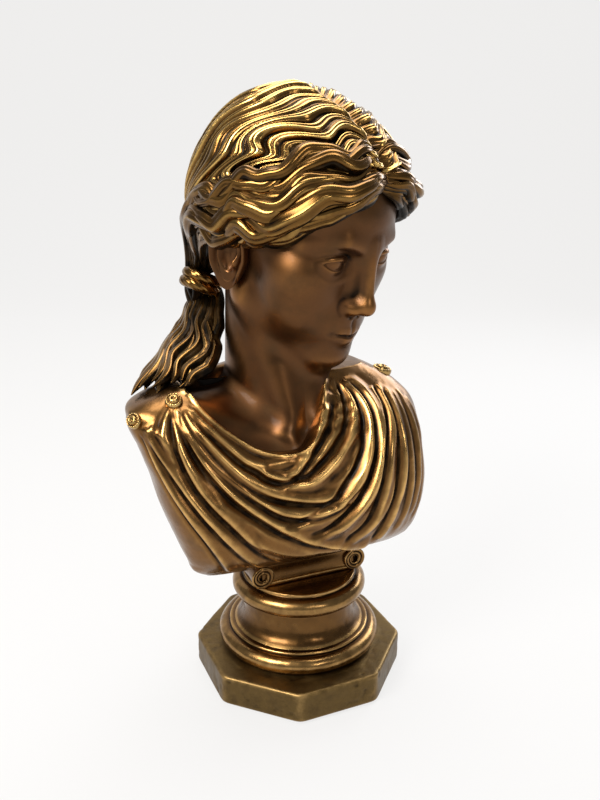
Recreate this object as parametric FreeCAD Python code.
"""Draped classical bust on a turned socle and an octagonal plinth, as a stack of hollow bronze castings.

Millimetres. The origin is the centre of the base on the surface it stands on, +Z is up and the chest
faces -Y, so the figure's right side is at -X. The castings from the plinth to the bust are drawn
together by one tie rod, and the head casting is set into the neckline of the draped shell.
"""
import FreeCAD
import Part
import math
import os

from FreeCAD import Placement, Rotation, Vector

# Plinth and felt
felt_thickness = 2.0
felt_margin = 5.0
plinth_corner_radius = 105.0
plinth_height = 32.0
plinth_wall = 12.0
plinth_top_slope = 2.0
plinth_edge_round = 2.5
plinth_corner_round = 4.0
plinth_seat_share = 0.86

# Socle, three turned rings
socle_base_radius = 81.0
socle_base_height = 20.0
socle_bead_radius = 69.0
socle_waist_radius = 54.0
socle_waist_height = 32.0
socle_collar_radius = 67.0
socle_collar_height = 22.0
socle_fillet_radius = 56.0
socle_fillet_height = 3.0
socle_bore_radius = 42.0
spigot_depth = 4.0
spigot_wall = 6.0
fit_clearance = 0.15

# Scroll tablet
tablet_height = 24.0
tablet_depth = 56.0
scroll_spacing = 98.0
scroll_radius = 11.5
scroll_eye_radius = 4.0
scroll_eye_depth = 7.0
tablet_band_recess = 2.5
tablet_ledge_height = 3.0
tablet_ledge_setback = 2.0
scroll_groove = 1.2
scroll_top_gap = 1.0

# Draped torso
torso_height = 186.0
reach_right = 164.0
reach_left = 123.0
chest_front = 76.0
chest_back = 68.0
torso_lean = 20.0
cast_wall = 6.0
bib_wall = 5.0
bib_lip = 7.0
neckline_centre = (-6.0, -20.0)
neckline_half_width = 70.0
neckline_half_depth = 56.0
neckline_drop = 72.0
neckline_lean = 28.0
back_split = 24.0

# Neck and head
neck_radius_side = 54.0
neck_radius_front = 52.0
neck_top_radius = 50.0
neck_base = (-18.0, 6.0)
neck_root_depth = 58.0
head_offset = (-4.0, 2.0)
head_rise = 132.0
head_turn = 25.0
head_bow = 20.0
head_roll = 0.0
head_half_width = 70.0
face_depth = 92.0
skull_depth = 89.0
chin_drop = 105.0
crown_rise = 99.0
nose_projection = 20.0
nose_length = 52.0
nose_half_width = 16.0
head_wall = 8.0

# Hair
hair_thickness = 12.0
hair_roll_radius = 12.0
tie_radius = 17.0
tie_bead = 6.0
tie_aside = 33.0
tie_back = 64.0
tie_drop = 87.0
tie_reach = 24.0
tress_start_radius = 15.0
tress_end_half_width = 46.0
tress_thickness = 14.0

# Brooches
brooch_radius = 7.0
brooch_height = 5.0
brooch_pin_radius = 1.5
brooch_pin_length = 9.0

# Fixings
rod_radius = 5.0
rod_clearance = 0.5
nut_across_flats = 17.0
nut_height = 8.0
washer_radius = 15.0
washer_thickness = 2.5
bar_length = 96.0
bar_width = 24.0
bar_thickness = 8.0
screw_radius = 2.5
screw_head_radius = 4.5
screw_head_height = 3.0
screw_place_share = 0.4
rod_end_beyond_nut = 3.0
locating_pin_radius = 3.0
locating_pin_length = 12.0

# Heights of the stack, from the supporting surface up
plinth_bottom = felt_thickness
plinth_top = plinth_bottom + plinth_height
socle_base_top = plinth_top + socle_base_height
socle_waist_top = socle_base_top + socle_waist_height
socle_collar_top = socle_waist_top + socle_collar_height
tablet_bottom = socle_collar_top
torso_bottom = tablet_bottom + tablet_height
torso_top = torso_bottom + torso_height
head_centre = Vector(head_offset[0], head_offset[1], torso_top + head_rise)

UP = Vector(0, 0, 1)
SECTION_POINTS = 24


def cylinder(radius, height, base, direction=UP):
    """A cylinder from base along direction."""
    return Part.makeCylinder(radius, height, base, direction)


def closed_spline(points):
    """A closed smooth wire through the points."""
    curve = Part.BSplineCurve()
    curve.interpolate(points, PeriodicFlag=True)
    return Part.Wire([curve.toShape()])


def turned(profile):
    """The solid swept by a closed (radius, height) outline of edges about the Z axis."""
    face = Part.Face(Part.Wire(profile))
    return face.revolve(Vector(0, 0, 0), UP, 360)


def line(a, b):
    """A straight edge of an outline, between (radius, height) points."""
    return Part.makeLine(Vector(a[0], 0, a[1]), Vector(b[0], 0, b[1]))


def arc(a, middle, b):
    """A round edge of an outline, through three (radius, height) points."""
    return Part.Arc(*[Vector(p[0], 0, p[1]) for p in (a, middle, b)]).toShape()


def octagon(corner_radius, z):
    """A regular octagonal wire with two flats square to the Y axis."""
    corners = []
    for k in range(9):
        angle = math.radians(22.5 + 45.0 * k)
        corners.append(Vector(corner_radius * math.cos(angle), corner_radius * math.sin(angle), z))
    return Part.makePolygon(corners)


def largest(shape):
    """The largest solid of a shape, without the slivers a cut leaves."""
    solids = sorted(shape.Solids, key=lambda s: s.Volume)
    return solids[-1]


# ---------------------------------------------------------------- base


def make_felt():
    return Part.Face(octagon(plinth_corner_radius - felt_margin, 0)).extrude(UP * felt_thickness)


def make_plinth():
    """Octagonal casting with a soft top edge, a gently falling top and a pocket beneath."""
    rim = plinth_top - plinth_top_slope
    lower = Part.Face(octagon(plinth_corner_radius, plinth_bottom)).extrude(UP * (rim - plinth_bottom))
    uprights = [e for e in lower.Edges if abs(e.Vertexes[0].Z - e.Vertexes[1].Z) > 1]
    lower = lower.makeFillet(plinth_corner_round, uprights)
    top_edges = [e for e in lower.Edges if e.BoundBox.ZMin > rim - 0.01]
    lower = lower.makeFillet(plinth_edge_round, top_edges)
    seat = Part.makeCone(plinth_corner_radius * plinth_seat_share, socle_base_radius, plinth_top_slope, Vector(0, 0, rim))
    body = lower.fuse(seat).removeSplitter()
    pocket = Part.Face(octagon(plinth_corner_radius - plinth_wall, plinth_bottom))
    body = body.cut(pocket.extrude(UP * (plinth_height - plinth_wall)))
    body = body.cut(cylinder(rod_radius + rod_clearance, plinth_height, Vector(0, 0, plinth_bottom)))
    for pin in pin_places(plinth_pin_ring):
        body = body.cut(cylinder(locating_pin_radius, locating_pin_length,
                                 Vector(pin[0], pin[1], plinth_top - locating_pin_length / 2)))
    return body


plinth_pin_ring = (socle_base_radius + socle_bore_radius) / 2
tablet_pin_ring = (socle_fillet_radius + socle_bore_radius) / 2


def pin_places(ring):
    """Two opposite places on a ring, left and right of the axis."""
    return [(-ring, 0), (ring, 0)]


def spigot(z, clearance):
    """The ring that centres one socle casting in the next."""
    outer = cylinder(socle_bore_radius + spigot_wall + clearance, spigot_depth + clearance, Vector(0, 0, z))
    return outer.cut(cylinder(socle_bore_radius - clearance, spigot_depth + clearance, Vector(0, 0, z)))


def make_socle_base():
    """Lower torus with a bead above it."""
    low, high = plinth_top, socle_base_top
    torus_high = high - socle_fillet_height
    swell = (socle_base_radius, (low + torus_high) / 2 - 1)
    foot, shoulder = socle_base_radius - 6, socle_bead_radius + 1.5
    bead = ((socle_bead_radius + 1.2), (torus_high + high) / 2)
    body = turned([
        line((socle_bore_radius, low), (foot, low)),
        arc((foot, low), swell, (shoulder, torus_high)),
        arc((shoulder, torus_high), bead, (socle_bead_radius - 1.5, high)),
        line((socle_bead_radius - 1.5, high), (socle_bore_radius, high)),
        line((socle_bore_radius, high), (socle_bore_radius, low)),
    ])
    body = body.fuse(spigot(high, 0)).removeSplitter()
    for pin in pin_places(plinth_pin_ring):
        body = body.cut(cylinder(locating_pin_radius, locating_pin_length,
                                 Vector(pin[0], pin[1], low - locating_pin_length / 2)))
    return body


def make_socle_waist():
    """Hollow-sided drum that narrows from the bead to the collar."""
    low, high = socle_base_top, socle_waist_top
    foot = socle_bead_radius - 3.5
    hollow = (socle_waist_radius + 2.0, low + socle_waist_height * 0.38)
    body = turned([
        line((socle_bore_radius, low), (foot, low)),
        arc((foot, low), hollow, (socle_waist_radius, high)),
        line((socle_waist_radius, high), (socle_bore_radius, high)),
        line((socle_bore_radius, high), (socle_bore_radius, low)),
    ])
    body = body.cut(spigot(low, fit_clearance))
    return body.fuse(spigot(high, 0)).removeSplitter()


def make_socle_collar():
    """Upper torus with a flat fillet on top, closed by a web that the tablet stands on."""
    low, high = socle_waist_top, socle_collar_top
    torus_high = high - socle_fillet_height
    middle = (low + torus_high) / 2
    inset = (torus_high - low) / 2
    body = turned([
        line((socle_bore_radius, low), (socle_collar_radius - inset, low)),
        arc((socle_collar_radius - inset, low), (socle_collar_radius, middle),
            (socle_collar_radius - inset, torus_high)),
        line((socle_collar_radius - inset, torus_high), (socle_fillet_radius, torus_high)),
        line((socle_fillet_radius, torus_high), (socle_fillet_radius, high)),
        line((socle_fillet_radius, high), (rod_radius + rod_clearance, high)),
        line((rod_radius + rod_clearance, high), (rod_radius + rod_clearance, middle)),
        line((rod_radius + rod_clearance, middle), (socle_bore_radius, middle)),
        line((socle_bore_radius, middle), (socle_bore_radius, low)),
    ])
    body = body.cut(spigot(low, fit_clearance))
    for pin in pin_places(tablet_pin_ring):
        body = body.cut(cylinder(locating_pin_radius, locating_pin_length,
                                 Vector(pin[0], pin[1], high - locating_pin_length / 2)))
    return body


def make_scroll_tablet():
    """Flat band between two rolled scrolls with drilled eyes, on a thin ledge."""
    back, front = tablet_depth / 2, -tablet_depth / 2
    half = scroll_spacing / 2
    eye_height = torso_bottom - scroll_radius - scroll_top_gap
    ledge = Part.makeBox(scroll_spacing, tablet_depth - 2 * tablet_ledge_setback, 2 * tablet_ledge_height,
                         Vector(-half, front + tablet_ledge_setback, tablet_bottom))
    band = Part.makeBox(scroll_spacing, tablet_depth - 2 * tablet_band_recess,
                        tablet_height - tablet_ledge_height,
                        Vector(-half, front + tablet_band_recess, tablet_bottom + tablet_ledge_height))
    body = ledge.fuse(band)
    for side in (-1, 1):
        start = Vector(side * half, front, eye_height)
        roll = cylinder(scroll_radius, tablet_depth, start, Vector(0, 1, 0))
        groove = cylinder(scroll_radius + scroll_groove, 2 * tablet_band_recess, start, Vector(0, 1, 0))
        body = body.cut(groove).fuse(roll)
    for side in (-1, 1):
        for y, direction in ((front, Vector(0, 1, 0)), (back, Vector(0, -1, 0))):
            eye = cylinder(scroll_eye_radius, scroll_eye_depth, Vector(side * half, y, eye_height), direction)
            body = body.cut(eye)
    body = body.cut(cylinder(rod_radius + rod_clearance, tablet_height, Vector(0, 0, tablet_bottom)))
    for pin in pin_places(tablet_pin_ring):
        body = body.cut(cylinder(locating_pin_radius, locating_pin_length,
                                 Vector(pin[0], pin[1], tablet_bottom - locating_pin_length / 2)))
    return body.removeSplitter()


# ---------------------------------------------------------------- torso

# Each level of the torso: share of its height, then shares of the right reach, left reach, front and back.
TORSO_LEVELS = [
    (0.000, 0.63, 0.78, 0.12, 0.62),
    (0.030, 0.69, 0.87, 0.25, 0.67),
    (0.095, 0.73, 0.92, 0.53, 0.73),
    (0.230, 0.79, 0.975, 0.80, 0.80),
    (0.390, 0.855, 1.00, 0.93, 0.90),
    (0.550, 0.90, 0.98, 0.95, 0.97),
    (0.690, 0.95, 0.955, 0.88, 1.01),
    (0.830, 1.00, 0.88, 0.68, 1.03),
    (0.900, 0.97, 0.77, 0.51, 1.00),
    (0.955, 0.78, 0.64, 0.40, 0.93),
    (1.000, 0.48, 0.50, 0.32, 0.84),
]


def torso_wire(level, inset):
    """One level of the torso as a closed spline from the spine round, drawn in by inset all round."""
    share, right, left, front, back = level
    z = torso_bottom + inset + share * (torso_height - 2 * inset)
    points = []
    for k in range(SECTION_POINTS):
        angle = math.pi + 2 * math.pi * k / SECTION_POINTS
        s, c = math.sin(angle), math.cos(angle)
        reach = (left * reach_left if s > 0 else right * reach_right) - inset
        depth = (front * chest_front if c > 0 else back * chest_back) - inset
        x = reach * math.copysign(abs(s) ** 0.88, s)
        y = -depth * math.copysign(abs(c) ** 0.80, c) - torso_lean * (1 - share) ** 1.2
        points.append(Vector(x, y, z))
    return closed_spline(points)


def torso_solid(inset):
    """The torso's outer form, or a copy drawn in by a wall."""
    return Part.makeLoft([torso_wire(level, inset) for level in TORSO_LEVELS], True, False)


def neckline_cutter(grow):
    """Oval drum, leaning forward, that the neckline cuts from the drapery, widened by grow."""
    oval = Part.Ellipse(Vector(0, 0, 0), neckline_half_width + grow, neckline_half_depth + grow)
    drum = Part.Face(Part.Wire([oval.toShape()])).extrude(UP * 3 * neckline_drop)
    base = Vector(neckline_centre[0], neckline_centre[1], torso_top - neckline_drop - grow)
    drum.Placement = Placement(base, Rotation(Vector(1, 0, 0), neckline_lean))
    return drum


def head_placement():
    """From the head's own frame, x across, y forward and z up, to the bust's frame."""
    forward_to_front = Rotation(UP, 180)
    turn = Rotation(UP, head_turn)
    bow = Rotation(Vector(1, 0, 0), head_bow)
    roll = Rotation(Vector(0, 1, 0), head_roll)
    return Placement(head_centre, turn * bow * roll * forward_to_front)


# Levels of the head: height, then the front, back and half width as shares of the head's own sizes.
HEAD_LEVELS = [
    (-1.000, 0.88, -0.44, 0.34),
    (-0.880, 0.985, -0.20, 0.58),
    (-0.730, 0.96, 0.10, 0.74),
    (-0.590, 0.975, 0.43, 0.82),
    (-0.430, 0.96, 0.77, 0.90),
    (-0.220, 0.965, 0.95, 0.96),
    (0.000, 0.97, 1.00, 1.00),
    (0.270, 1.01, 1.02, 1.01),
    (0.550, 0.96, 0.95, 0.96),
    (0.780, 0.76, 0.76, 0.80),
    (0.930, 0.48, 0.48, 0.53),
    (1.000, 0.20, 0.20, 0.23),
]


def head_wire(level, grow):
    """One level of the head as a closed spline from the nape round, pushed out by grow."""
    share, front, back, half = level
    z = share * (chin_drop if share < 0 else crown_rise) + (grow if share > 0.9 else 0)
    fore, aft = front * face_depth + grow, -back * skull_depth - grow
    middle, reach, across = (fore + aft) / 2, (fore - aft) / 2, half * head_half_width + grow
    points = []
    for k in range(SECTION_POINTS):
        angle = math.pi + 2 * math.pi * k / SECTION_POINTS
        points.append(Vector(across * math.sin(angle), middle + reach * math.cos(angle), z))
    return closed_spline(points)


def head_form(grow=0.0):
    """The skull and face without the neck, in the bust's frame."""
    form = Part.makeLoft([head_wire(level, grow) for level in HEAD_LEVELS], True, False)
    form.Placement = head_placement()
    return form


def make_nose():
    """A tapering wedge from the brow to the tip, with a flat base."""
    root = -0.43 * chin_drop
    wires = []
    for share, out, half in ((0.0, 1.0, 1.0), (0.12, 1.0, 0.9), (0.55, 0.62, 0.6), (1.0, 0.22, 0.45)):
        z = root + share * nose_length
        tip = face_depth * 0.95 + out * nose_projection
        width = half * nose_half_width
        base = face_depth * 0.80
        wires.append(Part.makePolygon([Vector(-width, base, z), Vector(width, base, z),
                                       Vector(width * 0.35, tip, z), Vector(-width * 0.35, tip, z),
                                       Vector(-width, base, z)]))
    nose = Part.makeLoft(wires, True, True)
    nose.Placement = head_placement()
    return nose


def neck_form(shrink):
    """The neck as a loft from the shoulders to the middle of the skull."""
    wires = []
    low = Vector(neck_base[0], neck_base[1], torso_top - neck_root_depth)
    top = head_placement().multVec(Vector(0, -skull_depth * 0.16, -chin_drop * 0.30))
    for share, side, front in ((0.0, neck_radius_side, neck_radius_front),
                               (0.5, neck_top_radius, neck_top_radius),
                               (1.0, neck_top_radius, neck_top_radius + 3)):
        centre = low + (top - low) * share
        points = []
        for k in range(SECTION_POINTS):
            angle = 2 * math.pi * k / SECTION_POINTS
            points.append(centre + Vector((side - shrink) * math.sin(angle),
                                          -(front - shrink) * math.cos(angle), 0))
        wires.append(closed_spline(points))
    return Part.makeLoft(wires, True, False)


def make_head_and_neck(outside, skin, skin_inside):
    """Face, neck and bare upper chest in one hollow casting, with a lip behind the drapery's edge."""
    chest = skin.common(neckline_cutter(bib_lip))
    hollow = head_form(-head_wall).fuse(neck_form(head_wall))
    return largest(outside.fuse(chest).cut(skin_inside).cut(hollow))


# ---------------------------------------------------------------- hair

# Hairline seen from the side, as (forward, up) points from the forehead to the nape.
HAIRLINE = [(0.94, 0.60), (0.66, 0.42), (0.40, 0.16), (0.10, -0.04), (-0.14, -0.32), (-0.48, -0.62)]


def face_side():
    """The space in front of and below the hairline, to cut from the hair."""
    outline = [Vector(0, 2 * face_depth, 0.60 * crown_rise)]
    for forward, up in HAIRLINE:
        outline.append(Vector(0, forward * face_depth, up * crown_rise))
    outline.append(Vector(0, -2 * skull_depth, -0.62 * crown_rise))
    outline.append(Vector(0, -2 * skull_depth, -2 * chin_drop))
    outline.append(Vector(0, 2 * face_depth, -2 * chin_drop))
    outline.append(outline[0])
    side = Part.Face(Part.makePolygon(outline))
    side.translate(Vector(-2 * head_half_width, 0, 0))
    block = side.extrude(Vector(4 * head_half_width, 0, 0))
    block.Placement = head_placement()
    return block


def tube(path, radii):
    """A smooth closed solid of round sections along a path, each square to the path."""
    wires = []
    for k, (point, radius) in enumerate(zip(path, radii)):
        ahead = path[min(k + 1, len(path) - 1)] - path[max(k - 1, 0)]
        wires.append(Part.Wire(Part.Circle(point, ahead, radius).toShape()))
    return Part.makeLoft(wires, True, False)


def make_hair_cap(head):
    """The combed crown, fitted over the skull."""
    return largest(head_form(hair_thickness).cut(face_side()).cut(head))


def make_hair_roll(side, head, cap):
    """The thick waved roll from the parting over the temple and the ear to the nape."""
    half, fore, up = head_half_width + 6, face_depth, crown_rise
    stations = [(0.08, 0.96, 0.66), (0.50, 0.86, 0.52), (0.85, 0.56, 0.26), (1.00, 0.14, 0.00),
                (0.94, -0.34, -0.20), (0.62, -0.74, -0.44), (0.26, -0.88, -0.58)]
    place = head_placement()
    path = [place.multVec(Vector(-side * x * half, y * fore, z * up)) for x, y, z in stations]
    radii = [hair_roll_radius * r for r in (0.6, 1.0, 1.15, 1.15, 1.1, 1.0, 0.8)]
    return largest(tube(path, radii).cut(head).cut(cap))


def tie_centre():
    """Middle of the band that gathers the hair, on the right of the nape."""
    return head_placement().multVec(Vector(tie_aside, -tie_back, -tie_drop))


def tress_start():
    """Direction in which the hair leaves the band."""
    return Vector(-0.45, -0.05, -1.0)


def make_hair_tie(head):
    """The band round the gathered hair, with the hair that it draws down from the rolls."""
    down = tress_start().normalize()
    ring = Part.makeTorus(tie_radius, tie_bead, tie_centre(), down)
    core = cylinder(tie_radius, tie_bead + tie_reach, tie_centre() - down * tie_reach, down)
    return largest(ring.fuse(core).cut(head))


def shoulder_rest():
    """Where the middle of the tress comes to lie on the figure's right shoulder."""
    return Vector(-reach_right * 0.66, chest_back * 0.36, torso_top - 14)


# Stations of the falling hair: share of the way down, its bow behind the straight line, and the shares of
# the way from the tie's round section to the flat spread on the shoulder.
TRESS_STATIONS = [(0.0, 0.0, 0.0), (0.3, 9.0, 0.16), (0.55, 13.0, 0.42), (0.8, 9.0, 0.78), (1.0, 0.0, 1.0)]


def make_hair_tress(others):
    """The falling hair, from the tie to the shoulder, flattening as it spreads."""
    start, end = tie_centre() + tress_start().normalize() * tie_bead, shoulder_rest()
    along = (end - start).normalize()
    wires = []
    for share, bow, spread in TRESS_STATIONS:
        middle = start + (end - start) * share + Vector(0, bow, 0)
        half = tress_start_radius + (tress_end_half_width - tress_start_radius) * spread
        thick = tress_start_radius + (tress_thickness - tress_start_radius) * spread
        across = (Vector(1.0, -0.3 + 0.1 * spread, 0.15 * spread)).normalize()
        normal = along.cross(across).normalize()
        points = []
        for k in range(SECTION_POINTS // 2):
            angle = 4 * math.pi * k / SECTION_POINTS
            points.append(middle + across * (half * math.cos(angle)) + normal * (thick * math.sin(angle)))
        wires.append(closed_spline(points))
    body = Part.makeLoft(wires, True, False)
    for other in others:
        body = body.cut(other)
    return largest(body)


# ---------------------------------------------------------------- brooches and fixings


def brooch_places():
    """A place inside the shoulder under each brooch, and the direction in which the brooch faces."""
    return {
        "brooch_right": (Vector(-0.74 * reach_right, -6, torso_top - 40), Vector(-0.2, -0.5, 0.85)),
        "brooch_right_sleeve": (Vector(-0.90 * reach_right, -6, torso_top - 38), Vector(-0.7, -0.5, 0.5)),
        "brooch_left": (Vector(0.60 * reach_left, 2, torso_top - 50), Vector(0.25, -0.2, 0.94)),
    }


def surface_point(form, inside, out):
    """Where the line from a place inside the form leaves it."""
    ray = Part.makeLine(inside, inside + out * 2 * reach_right)
    ends = [vertex.Point for vertex in form.common(ray).Vertexes]
    return max(ends, key=lambda point: point.dot(out))


def brooch_pin(seat, out):
    return cylinder(brooch_pin_radius, brooch_pin_length, seat - out * (brooch_pin_length - 1), out)


def make_brooch(seat, out, shell):
    """A domed button standing on the shell, with its pin through the wall."""
    ball = Part.makeSphere(brooch_radius, seat, out, 0, 90, 360)
    dome = ball.fuse(cylinder(brooch_radius, brooch_height, seat - out * brooch_height, out))
    return largest(dome.cut(shell)).fuse(brooch_pin(seat, out)).removeSplitter()


def hexagon(across_flats, height, z):
    corners = []
    for k in range(7):
        angle = math.radians(60 * k)
        radius = across_flats / 2 / math.cos(math.radians(30))
        corners.append(Vector(radius * math.cos(angle), radius * math.sin(angle), z))
    return Part.Face(Part.makePolygon(corners)).extrude(UP * height)


def ring(outer, inner, height, z):
    return cylinder(outer, height, Vector(0, 0, z)).cut(cylinder(inner, height, Vector(0, 0, z)))


bar_bottom = torso_bottom + cast_wall
bar_top = bar_bottom + bar_thickness
pocket_top = plinth_bottom + plinth_height - plinth_wall


def make_bridge_bar():
    bar = Part.makeBox(bar_length, bar_width, bar_thickness, Vector(-bar_length / 2, -bar_width / 2, bar_bottom))
    bar = bar.cut(cylinder(rod_radius + rod_clearance, bar_thickness, Vector(0, 0, bar_bottom)))
    for x in bar_screw_places():
        bar = bar.cut(cylinder(screw_radius, bar_thickness, Vector(x, 0, bar_bottom)))
    return bar


def bar_screw_places():
    return [-bar_length * screw_place_share, bar_length * screw_place_share]


def make_bar_screws():
    screws = []
    for x in bar_screw_places():
        shank = cylinder(screw_radius, bar_thickness + cast_wall, Vector(x, 0, torso_bottom))
        screws.append(shank.fuse(cylinder(screw_head_radius, screw_head_height, Vector(x, 0, bar_top))))
    return Part.makeCompound(screws)


def make_tie_rod():
    low = pocket_top - washer_thickness - nut_height - rod_end_beyond_nut
    high = bar_top + washer_thickness + nut_height + rod_end_beyond_nut
    return cylinder(rod_radius, high - low, Vector(0, 0, low))


def make_nut(z):
    return hexagon(nut_across_flats, nut_height, z).cut(cylinder(rod_radius, nut_height, Vector(0, 0, z)))


def make_washer(z):
    return ring(washer_radius, rod_radius + rod_clearance, washer_thickness, z)


def make_pins(ring_radius, z):
    return Part.makeCompound([cylinder(locating_pin_radius, locating_pin_length,
                                       Vector(x, y, z - locating_pin_length / 2))
                              for x, y in pin_places(ring_radius)])


def main():
    os.makedirs("parts", exist_ok=True)
    made = {}
    made["base_felt"] = make_felt()
    made["plinth"] = make_plinth()
    made["socle_base"] = make_socle_base()
    made["socle_waist"] = make_socle_waist()
    made["socle_collar"] = make_socle_collar()
    made["scroll_tablet"] = make_scroll_tablet()

    outside, skin = torso_solid(0), torso_solid(cast_wall)
    skin_inside = torso_solid(cast_wall + bib_wall)
    solid_head = largest(head_form().fuse(make_nose()).fuse(neck_form(0)))
    made["head_and_neck"] = make_head_and_neck(solid_head, skin, skin_inside)
    shell = outside.cut(skin).cut(neckline_cutter(0))
    shell = shell.cut(cylinder(rod_radius + rod_clearance, 2 * cast_wall, Vector(0, 0, torso_bottom)))
    for x in bar_screw_places():
        shell = shell.cut(cylinder(screw_radius, 2 * cast_wall, Vector(x, 0, torso_bottom)))
    shell = shell.cut(made["head_and_neck"])
    for name, (inside, out) in brooch_places().items():
        out.normalize()
        seat = surface_point(outside, inside, out)
        made[name] = make_brooch(seat, out, outside)
        shell = shell.cut(brooch_pin(seat, out))
    far = 4 * (reach_left + reach_right)
    rear = Part.makeBox(far, far, far, Vector(-far / 2, back_split, -far / 2))
    made["bust_shell"] = largest(shell.cut(rear))
    made["back_cover"] = largest(shell.common(rear))

    made["hair_cap"] = make_hair_cap(solid_head)
    for name, side in (("hair_roll_right", -1), ("hair_roll_left", 1)):
        made[name] = make_hair_roll(side, solid_head, made["hair_cap"])
    hair = [made["hair_cap"], made["hair_roll_right"], made["hair_roll_left"]]
    tie = make_hair_tie(solid_head)
    for other in hair:
        tie = tie.cut(other)
    made["hair_tie"] = largest(tie)
    made["hair_tress"] = make_hair_tress([solid_head, outside, *hair, made["hair_tie"],
                                          made["brooch_right"], made["brooch_right_sleeve"]])

    made["bridge_bar"] = make_bridge_bar()
    made["bridge_bar_screws"] = make_bar_screws()
    made["tie_rod"] = make_tie_rod()
    made["top_washer"] = make_washer(bar_top)
    made["top_nut"] = make_nut(bar_top + washer_thickness)
    made["bottom_washer"] = make_washer(pocket_top - washer_thickness)
    made["bottom_nut"] = make_nut(pocket_top - washer_thickness - nut_height)
    made["plinth_pins"] = make_pins(plinth_pin_ring, plinth_top)
    made["tablet_pins"] = make_pins(tablet_pin_ring, tablet_bottom)

    for name, shape in made.items():
        shape.exportStep(f"parts/{name}.step")
        print(name, shape.isValid(), len(shape.Solids), round(shape.Volume))


main()
